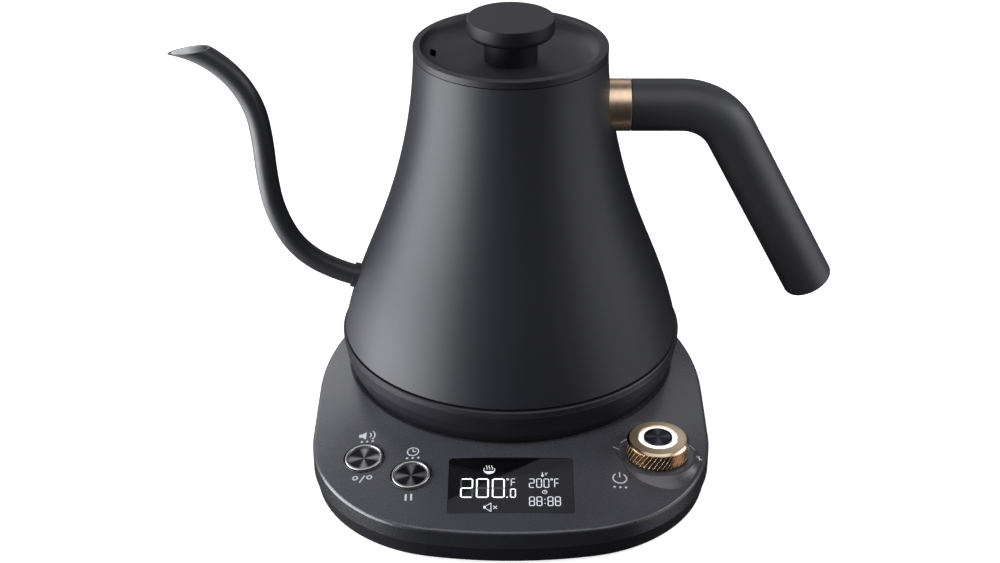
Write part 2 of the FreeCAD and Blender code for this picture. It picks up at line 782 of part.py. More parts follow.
def make_skirt():
    foot = deck_top - seat_depth + 0.3
    wall = 2.0
    keep(
        turned(
            [
                (skirt_foot - 3, foot), (skirt_foot - 0.8, foot), (skirt_foot + 0.3, foot + 0.9),
                (skirt_foot + 2.3, foot + 5.2), (skirt_foot + 3.8, foot + 10),
                (skirt_radius, lip_bottom - 0.4), (lip_radius - 0.5, lip_bottom - 0.1),
                (lip_radius - 0.5, lip_bottom), (lip_radius - wall, lip_bottom),
                (lip_radius - wall, lip_top - 0.7), (body_radius - 1.6, lip_top - 0.7),
                (body_radius - 1.6, body_bottom - 0.05), (body_radius - 3.2, body_bottom - 0.05),
                (body_radius - 3.2, lip_top - 3), (skirt_foot + 1.0, foot + 6), (skirt_foot - 3, foot + 2.5),
            ]
        ),
        "skirt",
    )
    keep(
        turned(
            [
                (lip_radius - wall + 0.05, lip_bottom + 0.05), (lip_radius - 0.1, lip_bottom + 0.05),
                (lip_radius, lip_top - 0.5), (lip_radius - 0.5, lip_top), (lip_radius - wall + 0.05, lip_top),
            ]
        ),
        "skirt_lip",
    )
    plate = foot + 0.7
    inner = socket_radius + 0.6
    edge = skirt_foot - 3.1
    cover = turned(
        [
            (inner, plate), (edge, plate), (edge, foot + 2.6), (edge - 1.6, foot + 2.6),
            (edge - 1.6, plate + 1.8), (inner + 1.6, plate + 1.8), (inner + 1.6, plate + 9),
            (inner, plate + 9),
        ]
    )
    drains = []
    screw_places = []
    for k in range(3):
        angle = math.radians(30 + 120 * k)
        drains.append(rod(2.0, 8, (58 * math.cos(angle), 58 * math.sin(angle), 22)))
        angle += math.radians(60)
        screw_places.append((58 * math.cos(angle), 58 * math.sin(angle)))
    holes = [rod(1.7, 8, (x, y, 22)) for x, y in screw_places]
    keep(cut(cover, *drains, *holes), "underside_cover")
    screws = []
    for x, y in screw_places:
        screws.append(fuse(rod(2.8, 0.6, (x, y, plate - 0.65)), rod(1.5, 9, (x, y, plate - 0.1))))
    keep(group(*screws), "underside_screws")


def make_kettle_plug():
    """The kettle's half of the cordless connector: a cup over the tower, with a middle
    pin and a contact ring that go down into it."""
    foot = 24.9
    roof = tower_top + 1.2
    inner = tower_radius + 1.5
    keep(
        turned(
            [
                (inner, foot + 1.6), (socket_radius, foot + 1.6),
                (socket_radius, roof + 1.8), (0, roof + 1.8),
                (0, roof), (inner, roof),
            ],
            [(inner, foot + 1.6, 0.5)],
        ),
        "plug_housing",
    )
    pin = turned([(0, 25.6), (1.8, 25.6), (2.4, 27), (2.4, roof - 0.05), (0, roof - 0.05)])
    ring = tube(12.0, 11.0, roof - 26 - 0.05, (0, 0, 26))
    keep(group(pin, ring), "plug_contacts")


# ---------------------------------------------------------------- lid
def make_lid():
    gap = 0.4
    under = neck_top + gap
    plate = turned(
        [
            (0, dish_floor - 1.2), (14, dish_floor - 1.2), (30.6, dish_floor + 0.4),
            (cup_radius + 0.2, under), (lid_radius, under), (lid_radius, lid_rim),
            (dish_radius, lid_rim), (dish_radius - 0.8, lid_rim - 1.5), (35, dish_floor + 3.2),
            (30, dish_floor + 1.4), (24, dish_floor + 0.5), (14, dish_floor + 0.15), (0, dish_floor),
        ],
        [
            (lid_radius, lid_rim, 0.5), (dish_radius, lid_rim, 0.3),
            (dish_radius - 0.8, lid_rim - 1.5, 5), (35, dish_floor + 3.2, 10),
            (30, dish_floor + 1.4, 24), (24, dish_floor + 0.5, 50),
        ],
    )
    vent = place(rounded_slab(Size(2.4, "2.4"), Size(7.0, "7.0"), 20, 0.9), (-32.7, 0.9, 165))
    keep(cut(plate, vent, rod(2.1, 20, (0, 0, 160))), "lid_plate")
    wall = 0.6
    cup = turned(
        [
            (0, cup_bottom), (cup_radius, cup_bottom), (cup_radius, under - 0.5),
            (cup_radius - wall, under - 0.5), (cup_radius - wall, cup_bottom + wall),
            (0, cup_bottom + wall),
        ],
        [(cup_radius, cup_bottom, 0.5)],
    )
    holes = []
    for k in range(6):
        angle = math.radians(60 * k)
        holes.append(rod(1.5, 4, (29 * math.cos(angle), 29 * math.sin(angle), 156)))
    keep(cut(cup, *holes), "lid_cup")
    keep(
        turned(
            [
                (cup_radius + 0.02, 167.5), (cup_radius + 0.9, 167.5), (cup_radius + 0.9, 168.6),
                (cup_radius + 0.4, 168.9), (cup_radius + 0.9, 169.2), (cup_radius + 0.9, 170.3),
                (cup_radius + 0.02, 170.3),
            ]
        ),
        "lid_seal",
    )
    grip_bottom = grip_top - grip_thick
    grip = turned(
        [(0, grip_bottom), (grip_radius, grip_bottom), (grip_radius, grip_top), (0, grip_top)],
        [(grip_radius, grip_bottom, 2.4), (grip_radius, grip_top, 0.4)],
    )
    keep(cut(grip, rod(2.1, 3.4, (0, 0, grip_bottom - 0.1))), "lid_grip")
    stem = tube(stem_radius, 2.1, grip_bottom - dish_floor - 0.2, (0, 0, dish_floor + 0.15))
    keep(stem, "lid_stem")
    head = rod(4, 2.2, (0, 0, dish_floor - 3.5))
    shank = rod(2.0, 15, (0, 0, dish_floor - 1.4))
    slot = block((6, 1, 1), (0, 0, dish_floor - 3.6))
    keep(cut(fuse(head, shank), slot), "lid_screw")


# ---------------------------------------------------------------- handle
def handle_path(first_x, last):
    """The handle's centre line: level, one bend, then the slanting leg."""
    turn = math.radians(handle_turn.value)
    reach = handle_bend.value * math.tan(turn / 2)
    x, z = handle_corner.value, handle_height.value
    down = V(math.cos(turn), 0, -math.sin(turn))
    start = V(first_x, 0, z)
    bend_in = V(x - reach, 0, z)
    corner = V(x, 0, z)
    bend_out = corner + down * reach
    centre = V(x - reach, 0, z - handle_bend.value)
    half = turn / 2
    middle = centre + V(math.sin(half), 0, math.cos(half)) * handle_bend.value
    end = corner + down * last
    edges = [Part.LineSegment(start, bend_in).toShape(), Part.Arc(bend_in, middle, bend_out).toShape()]
    edges.append(Part.LineSegment(bend_out, end).toShape())
    return Part.Wire(edges), start, end, down


def make_handle(envelope):
    along = V(1, 0, 0)
    wire, start, end, down = handle_path(collar_end.value + 0.15, leg_length.value)
    outer = swept(wire, start, along, handle_radius.value)
    outer.Shape = outer.Shape.makeFillet(3.2, end_edges(outer.Shape, end, down))
    inner = swept(wire, start, along, 7.6)
    keep(cut(outer, inner), "handle_grip")
    wire, start, end, down = handle_path(side_radius(handle_height.value - 7.4) + 0.1, leg_length.value - 30)
    core = swept(wire, start, along, 7.4)
    tapped = rod(2.55, 14, start, along)
    keep(cut(core, tapped), "handle_core")
    wire, start, end, down = handle_path(60, leg_length.value)
    back = end - down * 5
    plug = fuse(rod(7.55, 5.4, back, down), rod(6.6, 8, back - down * 7, down))
    keep(plug, "handle_end_cap")
    sleeve = tube(handle_radius, 7.5, collar_end - 38, (38, 0, handle_height), along)
    doc.recompute()
    collar = doc.addObject("Part::Chamfer", "Collar")
    collar.Base = sleeve
    collar.Edges = [
        (i + 1, 0.4, 0.4)
        for i, edge in enumerate(sleeve.Shape.Edges)
        if abs(edge.BoundBox.XMin - collar_end.value) < 0.01 and edge.Curve.Radius > 8
    ]
    keep(cut(collar, envelope), "handle_collar")
    inside = side_radius(handle_height.value, steel.value)
    head = rod(4.4, 2.2, (inside - 3.9, 0, handle_height), along)
    washer = rod(5.0, 0.6, (inside - 1.75, 0, handle_height), along)
    shank = rod(2.5, 13, (inside - 1.8, 0, handle_height), along)
    keep(fuse(head, washer, shank), "handle_bolt")


def end_edges(shape, end, down):
    """The circular edge at the far end of the handle."""
    return [e for e in shape.Edges if abs((e.CenterOfMass - end).dot(down)) < 0.01]


# ---------------------------------------------------------------- everything
make_base_shell()
make_bottom_cover()
make_base_fittings()
make_connector()
make_electronics()
make_display()
make_buttons()
make_dial()
body_envelope = make_kettle_body()
make_heater()
make_skirt()
make_kettle_plug()
make_lid()
make_handle(body_envelope)
doc.recompute()

for thing in doc.Objects:
    if "Invalid" in thing.State or "Error" in thing.State:
        raise RuntimeError(f"{thing.Name} ({thing.Label}) failed: {thing.State}")
os.makedirs("parts", exist_ok=True)
for thing in kept:
    if thing.Shape.isNull() or not thing.Shape.isValid():
        raise RuntimeError(f"{thing.Label} has no valid shape")
    thing.Shape.exportStep(f"parts/{thing.Label}.step")
    box = thing.Shape.BoundBox
    print(f"{thing.Label:20s} solids {len(thing.Shape.Solids)} volume {thing.Shape.Volume:10.1f}"
          f" z {box.ZMin:7.2f} to {box.ZMax:7.2f}")
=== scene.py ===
"""Looks for the electric gooseneck kettle on its control base, in metres, in the CAD model's frame.

+Z is up, z = 0 is the table, the kettle's axis is the Z axis, the handle points along +X and the
control panel faces -Y. Shapes that the CAD model leaves plain are built here: the knurled dial, the
spun cap and buttons, the bare steel in the spout's mouth, the display's figures and the printed marks.
Piece sizes are written in millimetres and multiplied by MM where a mesh is made.
"""

import math

import bmesh
import bpy
from mathutils import Matrix, Vector
from mathutils.bvhtree import BVHTree


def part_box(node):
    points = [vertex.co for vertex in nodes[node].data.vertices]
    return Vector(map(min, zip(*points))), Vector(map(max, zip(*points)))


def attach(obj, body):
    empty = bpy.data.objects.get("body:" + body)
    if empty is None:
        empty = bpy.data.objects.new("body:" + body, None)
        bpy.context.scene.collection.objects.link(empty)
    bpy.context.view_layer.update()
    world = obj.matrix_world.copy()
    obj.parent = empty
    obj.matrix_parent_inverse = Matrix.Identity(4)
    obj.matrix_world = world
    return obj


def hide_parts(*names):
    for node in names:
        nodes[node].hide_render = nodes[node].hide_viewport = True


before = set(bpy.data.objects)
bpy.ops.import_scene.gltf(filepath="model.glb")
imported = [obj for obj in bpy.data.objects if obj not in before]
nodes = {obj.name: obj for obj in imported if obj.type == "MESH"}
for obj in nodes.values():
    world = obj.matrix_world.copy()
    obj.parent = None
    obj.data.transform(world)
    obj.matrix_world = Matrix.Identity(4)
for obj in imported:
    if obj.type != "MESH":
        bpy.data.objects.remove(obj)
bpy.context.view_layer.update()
MM = 0.001
SHARP = 32  # degrees between faces, above which an edge is drawn sharp
TURN_STEPS = 192  # sides of a turned piece
BLUNT = 0.0  # for a stroke with square ends

# The control panel is a cone about the kettle's axis: flat to DECK_EDGE, then sloping outwards.
deck_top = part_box("base_top_shell")[1].z
DECK_EDGE = 74 * MM
PANEL_SLOPE = math.radians(9)


# ---------------------------------------------------------------- places
def middle(node):
    low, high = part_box(node)
    return (low + high) / 2


def frame_on(spot, normal):
    """A frame at spot with Z along normal and X level, to the right."""
    across = Vector((0, 1, 0)).cross(normal).normalized()
    turn = Matrix((across, normal.cross(across), normal)).transposed().to_4x4()
    return Matrix.Translation(spot) @ turn


def panel_place(x, y):
    """A frame on the panel's cone at (x, y)."""
    reach = math.hypot(x, y)
    height = deck_top - max(0.0, reach - DECK_EDGE) * math.tan(PANEL_SLOPE)
    lean = math.sin(PANEL_SLOPE)
    normal = Vector((x / reach * lean, y / reach * lean, math.cos(PANEL_SLOPE)))
    return frame_on((x, y, height), normal)


def shell_place(x, y):
    """A frame on the base's top shell at (x, y), wherever its surface lies."""
    _, spot, normal, _ = nodes["base_top_shell"].ray_cast((x, y, 0.1), (0, 0, -1))
    return frame_on(spot, normal)


def upright(x, y):
    return Matrix.Translation((x, y, 0))


# ---------------------------------------------------------------- meshes
def add_piece(name, bm, place, body, material, sharp=SHARP):
    """Turns bm into a smooth piece whose own frame is place, and lets it ride on a CAD body."""
    bmesh.ops.recalc_face_normals(bm, faces=bm.faces)
    mesh = bpy.data.meshes.new(name)
    bm.to_mesh(mesh)
    bm.free()
    piece = bpy.data.objects.new(name, mesh)
    bpy.context.scene.collection.objects.link(piece)
    piece.matrix_world = place
    mesh.materials.append(material)
    for face in mesh.polygons:
        face.use_smooth = True
    if sharp:
        mesh.set_sharp_from_angle(angle=math.radians(sharp))
    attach(piece, body)
    return piece


def new_piece(name, mesh_maker, place, body, material):
    bm = bmesh.new()
    mesh_maker(bm)
    return add_piece(name, bm, place, body, material)


def ring(bm, spokes, height):
    """One closed ring of vertices about Z, from (radius, angle) pairs in metres and radians."""
    return [bm.verts.new((r * math.cos(a), r * math.sin(a), height)) for r, a in spokes]


def skin(bm, rings):
    """Joins each ring to the next with quads."""
    for low, high in zip(rings, rings[1:]):
        for k in range(len(low)):
            after = (k + 1) % len(low)
            bm.faces.new((low[k], low[after], high[after], high[k]))


def lathe(profile):
    """A maker for a closed turned solid, from (radius, height) points in millimetres. A profile that
    never reaches radius 0 is closed into a ring."""
    angles = [2 * math.pi * k / TURN_STEPS for k in range(TURN_STEPS)]

    def make(bm):
        rings = []
        tips = []
        for radius, height in profile:
            if radius == 0:
                tips.append((len(rings), bm.verts.new((0, 0, height * MM))))
            else:
                rings.append(ring(bm, [(radius * MM, a) for a in angles], height * MM))
        skin(bm, rings)
        if not tips:
            skin(bm, [rings[-1], rings[0]])
        for rings_before, tip in tips:
            edge = rings[0] if rings_before == 0 else rings[-1]
            for k in range(TURN_STEPS):
                bm.faces.new((edge[k], edge[(k + 1) % TURN_STEPS], tip))

    return make


def arc_points(centre, radius, start, end, count):
    """Points on an arc in the (radius, height) plane, with angles in degrees."""
    points = []
    for k in range(count + 1):
        angle = math.radians(start + (end - start) * k / count)
        points.append((centre[0] + radius * math.cos(angle), centre[1] + radius * math.sin(angle)))
    return points


def prism(bm, outline, thick):
    """A flat slab with the given outline, in millimetres."""
    low = [bm.verts.new((x * MM, y * MM, 0)) for x, y in outline]
    high = [bm.verts.new((x * MM, y * MM, thick * MM)) for x, y in outline]
    bm.faces.new(list(reversed(low)))
    bm.faces.new(high)
    skin(bm, [low, high])


def stroke(bm, start, end, width, thick, point=0.5):
    """A straight bar; its ends are points that many widths long, like a display segment's."""
    a, b = Vector(start), Vector(end)
    along = (b - a).normalized()
    side = Vector((-along.y, along.x)) * width / 2
    tip = along * width * point
    outline = [a, a + tip - side, b - tip - side, b, b - tip + side, a + tip + side]
    prism(bm, [(p.x, p.y) for p in outline], thick)


def arc_stroke(bm, centre, radius, start, end, width, thick, count=28):
    """A curved bar of constant width, with angles in degrees."""
    closed = abs(end - start) >= 360
    inner, outer = [], []
    for k in range(count + (0 if closed else 1)):
        angle = math.radians(start + (end - start) * k / count)
        direction = Vector((math.cos(angle), math.sin(angle)))
        inner.append(Vector(centre) + direction * (radius - width / 2))
        outer.append(Vector(centre) + direction * (radius + width / 2))
    if not closed:
        prism(bm, [(p.x, p.y) for p in outer + inner[::-1]], thick)
        return
    loops = []
    for points, height in ((inner, 0), (outer, 0), (outer, thick), (inner, thick)):
        loops.append([bm.verts.new((p.x * MM, p.y * MM, height * MM)) for p in points])
    skin(bm, loops + loops[:1])


# ---------------------------------------------------------------- materials
class Look:
    """A Principled material and short ways to add procedural detail to it. Patterns sit in the
    piece's own frame, in metres, so a noise scale of 1000 is about one blot per millimetre."""

    def __init__(self, name, color, roughness, metallic=0.0, **fixed):
        self.material = bpy.data.materials.new(name)
        self.material.use_nodes = True
        self.tree = self.material.node_tree
        self.shader = self.tree.nodes["Principled BSDF"]
        self.set("Base Color", (*color, 1))
        self.set("Roughness", roughness)
        self.set("Metallic", metallic)
        for socket, value in fixed.items():
            self.set(socket.replace("_", " "), value)
        self.where = self.node("ShaderNodeTexCoord").outputs["Object"]

    def set(self, socket, value):
        self.shader.inputs[socket].default_value = value

    def node(self, kind, **inputs):
        made = self.tree.nodes.new(kind)
        for socket, value in inputs.items():
            self.feed(made.inputs[socket.replace("_", " ")], value)
        return made

    def feed(self, socket, value):
        if isinstance(value, bpy.types.NodeSocket):
            self.tree.links.new(value, socket)
        else:
            socket.default_value = value

    def stretched(self, scale):
        return self.node("ShaderNodeMapping", Vector=self.where, Scale=scale).outputs["Vector"]

    def axes(self):
        """The outputs X, Y and Z of the place being shaded."""
        return self.node("ShaderNodeSeparateXYZ", Vector=self.where).outputs

    def noise(self, scale, detail=2.0, vector=None):
        made = self.node("ShaderNodeTexNoise", Scale=scale, Detail=detail)
        self.feed(made.inputs["Vector"], vector or self.where)
        return made.outputs["Fac"]

    def cells(self, scale):
        return self.node("ShaderNodeTexVoronoi", Scale=scale, Vector=self.where).outputs["Distance"]

    def ramp(self, value, low, high, to_low, to_high):
        """to_low where value is low, to_high where it is high, and straight between them."""
        limits = {"From_Min": low, "From_Max": high, "To_Min": to_low, "To_Max": to_high}
        return self.node("ShaderNodeMapRange", Value=value, **limits).outputs["Result"]

    def facing_up(self):
        """0 on walls and 1 on faces that look upwards."""
        normal = self.tree.nodes.new("ShaderNodeNewGeometry").outputs["Normal"]
        upward = self.node("ShaderNodeSeparateXYZ", Vector=normal).outputs["Z"]
        return self.ramp(upward, 0.35, 0.85, 0.0, 1.0)

    def calc(self, kind, a, b=0.0):
        made = self.tree.nodes.new("ShaderNodeMath")
        made.operation = kind
        self.feed(made.inputs[0], a)
        self.feed(made.inputs[1], b)
        return made.outputs["Value"]

    def mix(self, share, a, b):
        made = self.tree.nodes.new("ShaderNodeMix")
        made.data_type = "RGBA"
        self.feed(made.inputs["Factor"], share)
        self.feed(made.inputs["A"], (*a, 1) if isinstance(a, tuple) else a)
        self.feed(made.inputs["B"], (*b, 1) if isinstance(b, tuple) else b)
        return made.outputs["Result"]

    def color(self, share, a, b):
        self.feed(self.shader.inputs["Base Color"], self.mix(share, a, b))

    def spread(self, noise, low, high):
        """A noise output carried over to low and high; most of it lies between 0.3 and 0.7."""
        return self.ramp(noise, 0.3, 0.7, low, high)

    def rough(self, noise, low, high):
        self.feed(self.shader.inputs["Roughness"], self.spread(noise, low, high))

    def bump(self, value, depth, strength):
        made = self.node("ShaderNodeBump", Height=value, Strength=strength, Distance=depth)
        self.feed(self.shader.inputs["Normal"], made.outputs["Normal"])


def shades(tint, darker, lighter):
    """The two ends of a drift in tone about tint."""
    return tuple(c * darker for c in tint), tuple(min(1, c * lighter) for c in tint)


def satin_paint(name, tint, roughness, specular=0.5, painted_shade_wall_share=1.0):
    """Soft matte paint over metal: a fine orange-peel grain and a faint drift in tone. Walls carry
    painted shade, darkened to the given share of the tone that tops have, and are a little duller."""
    look = Look(name, tint, roughness, IOR=1.45, Specular_IOR_Level=specular)
    peel = look.noise(5200)
    tone = look.mix(look.noise(35), *shades(tint, 0.86, 1.12))
    up = look.facing_up()
    # Painted shade: walls get only a share of the tone that tops have.
    look.color(up, look.mix(1.0 - painted_shade_wall_share, tone, (0, 0, 0)), tone)
    sheen = look.spread(peel, roughness - 0.04, roughness + 0.05)
    wall_dulling = 0.1 * (1.0 - painted_shade_wall_share)
    duller = look.ramp(up, 0.0, 1.0, wall_dulling, 0.0)
    look.feed(look.shader.inputs["Roughness"], look.calc("ADD", sheen, duller))
    look.bump(peel, 0.02 * MM, 0.35)
    return look.material


def grained_plastic(name, tint, roughness, specular=0.5, painted_shade_wall_share=1.0):
    """Moulded plastic with a fine sparked grain. Walls carry painted shade, darkened to the given
    share of the tops' tone.
    """
    look = Look(name, tint, roughness, IOR=1.46, Specular_IOR_Level=specular)
    grain = 2600
    tone = look.mix(look.noise(60, 3.0), *shades(tint, 0.85, 1.15))
    # Painted shade: walls get only a share of the tone that tops have.
    look.color(look.facing_up(), look.mix(1.0 - painted_shade_wall_share, tone, (0, 0, 0)), tone)
    look.rough(look.noise(grain / 2), roughness - 0.05, roughness + 0.05)
    look.bump(look.cells(grain), 0.02 * MM, 0.3)
    return look.material


def turned_brass(name, axis, tint, roughness):
    """Satin brass with fine tool rings across the axis marked 1."""
    look = Look(name, tint, roughness, metallic=1.0)
    scale = [900.0 if a else 40.0 for a in axis]
    rings = look.noise(1.0, 2.0, look.stretched(scale))
    patina = look.noise(120, 3.0)
    look.color(patina, *shades(tint, 0.94, 1.04))
    look.rough(rings, roughness - 0.03, roughness + 0.04)
    look.bump(rings, 0.003 * MM, 0.15)
    return look.material


def dial_metal(side_top, bevel_top):
    """Pale turned brass on the top, with painted light and shade round it: brightest near +X and
    darkened towards -X; polished on the bevel below bevel_top, and a deeper tone on the knurled side
    below side_top."""
    look = Look("dial_brass", (0.90, 0.70, 0.52), 0.4, metallic=1.0)
    place = look.axes()
    side = look.ramp(place["Z"], side_top - 0.2 * MM, side_top + 0.1 * MM, 1.0, 0.0)
    patina = look.noise(150, 3.0)
    # Painted light and shade: the top's colour runs from dark towards -X to its lit tone near +X.
    angle = look.calc("ARCTAN2", place["Y"], place["X"])
    painted_highlight_angle = 0.2  # radians round from +X
    painted_light_share = look.calc("COSINE", look.calc("SUBTRACT", angle, painted_highlight_angle))
    painted_light_share = look.ramp(painted_light_share, -0.9, 0.9, 0.0, 1.0)
    lit = look.mix(patina, (0.96, 0.74, 0.53), (1.0, 0.80, 0.60))
    pale = look.mix(painted_light_share, (0.34, 0.25, 0.16), lit)
    deep = look.mix(patina, (0.42, 0.21, 0.08), (0.54, 0.28, 0.11))
    look.color(side, pale, deep)
    lower = look.ramp(place["Z"], bevel_top - 0.1 * MM, bevel_top, 1.0, 0.0)
    look.feed(look.shader.inputs["Roughness"], look.ramp(lower, 0.0, 1.0, 0.42, 0.24))
    look.feed(look.shader.inputs["Metallic"], look.ramp(lower, 0.0, 1.0, 0.65, 1.0))
    return look.material


def spun_metal(name, dark, light, roughness=0.3):
    """Metal finished with concentric circles about the piece's own Z axis, whose anisotropic sheen is
    joined by a painted highlight: a cross of four pale wedges in its colour."""
    look = Look(name, light, roughness, metallic=1.0, Anisotropic=0.6)
    tangent = look.tree.nodes.new("ShaderNodeTangent")
    tangent.direction_type = "RADIAL"
    tangent.axis = "Z"
    look.feed(look.shader.inputs["Tangent"], tangent.outputs["Tangent"])
    place = look.axes()
    angle = look.calc("ARCTAN2", place["Y"], place["X"])
    # Painted highlight: four pale wedges in the colour, dark between them.
    wedges = 4.0
    wave = look.calc("COSINE", look.calc("MULTIPLY", angle, wedges))
    painted_wedge_share = look.ramp(wave, -0.35, 1.0, 0.0, 1.0)
    reach = look.node("ShaderNodeVectorMath", Vector=look.where)
    reach.operation = "LENGTH"
    line = look.node("ShaderNodeCombineXYZ", X=reach.outputs["Value"])
    circles = look.noise(9000, 1.0, line.outputs["Vector"])
    sheen = look.calc("POWER", painted_wedge_share, 1.7)
    look.color(look.calc("MULTIPLY", sheen, look.spread(circles, 0.75, 1.0)), dark, light)
    look.rough(circles, roughness - 0.06, roughness + 0.08)
    return look.material


def plain_metal(name, tint, roughness):
    """Drawn or brushed metal with its grain running round the piece."""
    look = Look(name, tint, roughness, metallic=1.0)
    lines = look.noise(1.0, 3.0, look.stretched((500.0, 500.0, 2400.0)))
    look.color(lines, *shades(tint, 0.95, 1.05))
    look.rough(lines, roughness - 0.03, roughness + 0.05)
    look.bump(lines, 0.005 * MM, 0.2)
    return look.material


def spout_steel(lip):
    """Blasted bare steel, pale at the lip, with painted shade darkening it from its x onwards down the
    bore.
    """
    look = Look("spout_steel", (0.80, 0.80, 0.82), 0.6, metallic=0.25)
    blast = look.noise(2400, 3.0)
    # Painted shade: the steel darkens towards the inside of the bore.
    deep = look.ramp(look.axes()["X"], lip + 8 * MM, lip + 17 * MM, 0.0, 1.0)
    pale = look.mix(blast, (0.74, 0.74, 0.76), (0.84, 0.84, 0.86))
    look.color(deep, pale, (0.06, 0.06, 0.07))
    look.rough(blast, 0.55, 0.65)
    return look.material


def groove_brass():
    """Freshly cut brass at the bottom of the knurling, paler than the skin around it."""
    look = Look("groove_brass", (0.95, 0.82, 0.66), 0.5, metallic=0.6)
    cut = look.noise(1800)
    look.color(cut, (0.90, 0.76, 0.60), (0.98, 0.86, 0.72))
    look.rough(cut, 0.42, 0.55)
    return look.material


def black_glass():
    """A glossy black window with a painted reflection: paler beyond a slanting edge."""
    coat = {"Coat_Weight": 0.6, "Coat_Roughness": 0.03}
    look = Look("black_glass", (0.004, 0.004, 0.005), 0.06, IOR=1.5, **coat)
    place = look.axes()
    # Painted reflection: the glass is paler on one side of a slanting edge.
    edge_slope = 0.62
    above_slant = look.calc("ADD", place["Y"], look.calc("MULTIPLY", place["X"], -edge_slope))
    paler = look.ramp(above_slant, -89.5 * MM, -88.5 * MM, 1.0, 0.0)
    look.color(paler, (0.0025, 0.0025, 0.0035), (0.030, 0.030, 0.034))
    look.rough(look.noise(400), 0.05, 0.09)
    return look.material


def glowing(name, tint, strength):
    """A lit figure or ring, with a faint drift in its tone."""
    look = Look(name, tint, 0.25, Emission_Strength=strength)
    glow = look.noise(700)
    tones = shades(tint, 1, 1.05)
    look.color(glow, *tones)
    look.feed(look.shader.inputs["Emission Color"], look.mix(glow, *tones))
    return look.material


def rubber(name, tint):
    """Dull rubber with a trace of dust."""
    look = Look(name, tint, 0.7, Specular_IOR_Level=0.35)
    dust = look.noise(900, 4.0)
    look.color(dust, *shades(tint, 1, 1.6))
    look.rough(dust, 0.62, 0.8)
    look.bump(look.noise(2500), 0.03 * MM, 0.3)
    return look.material


def circuit_board():
    """Green lacquer over a grid of paler tracks."""
    look = Look("circuit_board", (0.02, 0.14, 0.05), 0.35)
    tracks = look.node("ShaderNodeTexBrick", Vector=look.where, Scale=220.0)
    look.color(tracks.outputs["Fac"], (0.015, 0.12, 0.045), (0.04, 0.24, 0.09))
    look.rough(look.noise(900), 0.28, 0.42)
    return look.material


body_paint = satin_paint("body_paint", (0.016, 0.0165, 0.022), 0.48)
spout_paint = satin_paint("spout_paint", (0.024, 0.0245, 0.030), 0.42, 0.7)
handle_paint = satin_paint("handle_paint", (0.034, 0.0345, 0.042), 0.5, 0.85)
# The lid's and the base's walls carry painted shade, at 0.3 and 0.35 of their tops' tone.
lid_paint = satin_paint("lid_paint", (0.026, 0.026, 0.033), 0.42, 0.5, 0.3)
base_plastic = grained_plastic("base_plastic", (0.060, 0.061, 0.072), 0.29, 0.9, 0.35)
cover_plastic = grained_plastic("cover_plastic", (0.010, 0.010, 0.014), 0.42)
inner_plastic = grained_plastic("inner_plastic", (0.02, 0.02, 0.022), 0.55)
trim_paint = satin_paint("trim_paint", (0.018, 0.018, 0.023), 0.4)
collar_brass = turned_brass("collar_brass", (1, 0, 0), (0.80, 0.60, 0.43), 0.36)
dark_spun = spun_metal("dark_spun", (0.03, 0.03, 0.032), (0.52, 0.52, 0.54))
start_spun = spun_metal("start_spun", (0.02, 0.02, 0.03), (0.09, 0.09, 0.12), 0.22)
bright_ring = plain_metal("bright_ring", (0.50, 0.50, 0.51), 0.4)
well_metal = plain_metal("well_metal", (0.10, 0.10, 0.105), 0.36)
stainless = plain_metal("stainless", (0.58, 0.57, 0.55), 0.3)
aluminium = plain_metal("aluminium", (0.72, 0.72, 0.73), 0.42)
zinc = plain_metal("zinc", (0.55, 0.55, 0.56), 0.35)
contact_metal = turned_brass("contact_metal", (0, 0, 1), (0.8, 0.5, 0.28), 0.3)
circuit_green = circuit_board()
component_black = grained_plastic("component_black", (0.03, 0.03, 0.035), 0.35)
silicone = rubber("silicone", (0.25, 0.25, 0.26))
black_rubber = rubber("black_rubber", (0.015, 0.015, 0.016))
window_glass = black_glass()
ring_light = glowing("ring_light", (1.0, 0.985, 0.96), 0.95)
segment_light = glowing("segment_light", (0.93, 0.95, 1.0), 0.95)
dim_light = glowing("dim_light", (0.66, 0.68, 0.74), 0.62)
ghost_light = glowing("ghost_light", (0.10, 0.10, 0.115), 0.15)
pad_print = satin_paint("pad_print", (0.75, 0.75, 0.78), 0.5)
mouth_steel = spout_steel(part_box("spout_tube")[0].x)
cut_brass = groove_brass()

cad_looks = {
    body_paint: ["kettle_shell"],
    spout_paint: ["spout_tube", "spout_collar"],
    handle_paint: ["handle_grip"],
    lid_paint: ["lid_plate", "lid_grip", "lid_stem"],
    base_plastic: ["base_top_shell"],
    cover_plastic: ["base_bottom_cover", "skirt", "underside_cover"],
    inner_plastic: [
        "connector_tower", "plug_housing", "dial_carrier", "encoder_ring", "handle_end_cap", "buzzer",
        "cord_terminal", "heater_relay", "tact_switches", "dry_boil_cutout",
    ],
    trim_paint: ["skirt_lip"],
    collar_brass: ["handle_collar"],
    window_glass: ["display_window"],
    stainless: [
        "kettle_floor", "neck_ring", "lid_cup", "heating_element", "temperature_sensor", "handle_core",
    ],
    aluminium: ["heat_spreader"],
    zinc: ["base_screws", "underside_screws", "lid_screw", "handle_bolt"],
    contact_metal: ["tower_contacts", "plug_contacts", "element_pins"],
    circuit_green: ["control_board", "power_board", "knob_board"],
    component_black: ["supply_transformer", "filter_capacitors", "display_module", "backlight_guide"],
    silicone: ["lid_seal"],
    black_rubber: ["rubber_feet", "cord_gland"],
    ring_light: ["light_ring"],
}


def dress_cad_nodes():
    """Gives every CAD part its look, in each of its material slots or in a new one."""
    for material, names in cad_looks.items():
        for name in names:
            slots = nodes[name].data.materials
            for index in range(len(slots)):
                slots[index] = material
            if not slots:
                slots.append(material)


